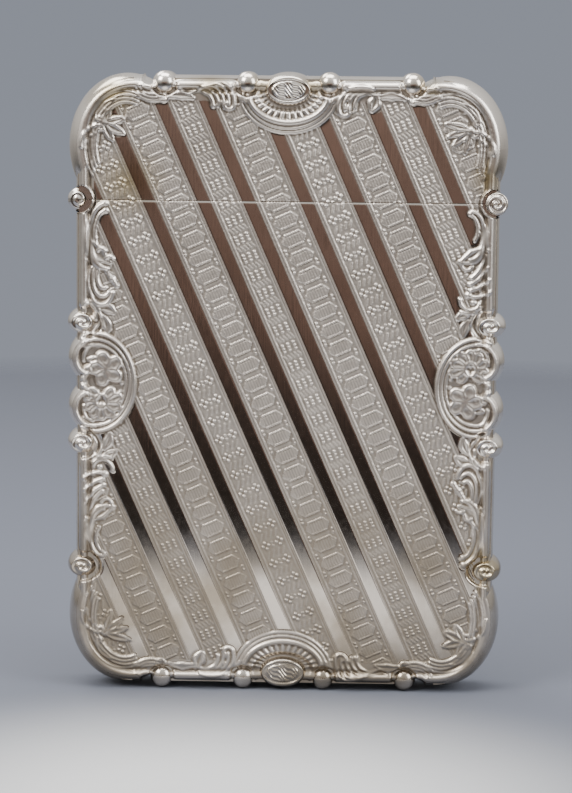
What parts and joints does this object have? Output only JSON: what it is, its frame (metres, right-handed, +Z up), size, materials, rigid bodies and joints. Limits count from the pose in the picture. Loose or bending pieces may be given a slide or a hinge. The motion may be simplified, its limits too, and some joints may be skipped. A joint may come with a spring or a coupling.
{
  "type": "business card case",
  "caption": "Slim upright silver case for visiting cards, with scrolled stamped borders, slanted engraved bands and a lid hinged at one side.",
  "frame": {"origin": "bottom centre of the case, midway between front and back, at the level of the lowest beads", "axes": "+Z up from the foot to the lid, -Y out of the front face, +X towards the hinge side"},
  "size_m": [0.0674, 0.0096, 0.0952],
  "materials": {
    "stamped_silver": "die-stamped and engine-turned silver, polished high points, faint warm tarnish in the hollows",
    "plain_silver": "plain silver sheet, lightly brushed and scuffed by cards",
    "hinge_silver": "plain drawn silver tube, worn smooth",
    "pin_steel": "drawn wire"
  },
  "bodies": {
    "case_body": {"body_front_plate": "stamped_silver", "body_back_plate": "stamped_silver", "body_sleeve": "plain_silver", "body_sleeve_floor": "plain_silver", "body_mouth_rim": "plain_silver", "body_thumb_scroll": "stamped_silver", "body_hinge_knuckle_front": "hinge_silver", "body_hinge_knuckle_back": "hinge_silver", "hinge_pin": "pin_steel"},
    "lid": {"lid_front_plate": "stamped_silver", "lid_back_plate": "stamped_silver", "lid_mouth_rim": "plain_silver", "lid_thumb_scroll": "stamped_silver", "lid_hinge_knuckle_front": "hinge_silver", "lid_hinge_knuckle_middle": "hinge_silver", "lid_hinge_knuckle_back": "hinge_silver"}
  },
  "joints": [
    {"name": "lid_hinge", "type": "hinge", "parent": "case_body", "child": "lid", "pos_m": [0.0317, 0, 0.0756], "axis": [0, 1, 0], "range_deg": [0, 120]}
  ]
}
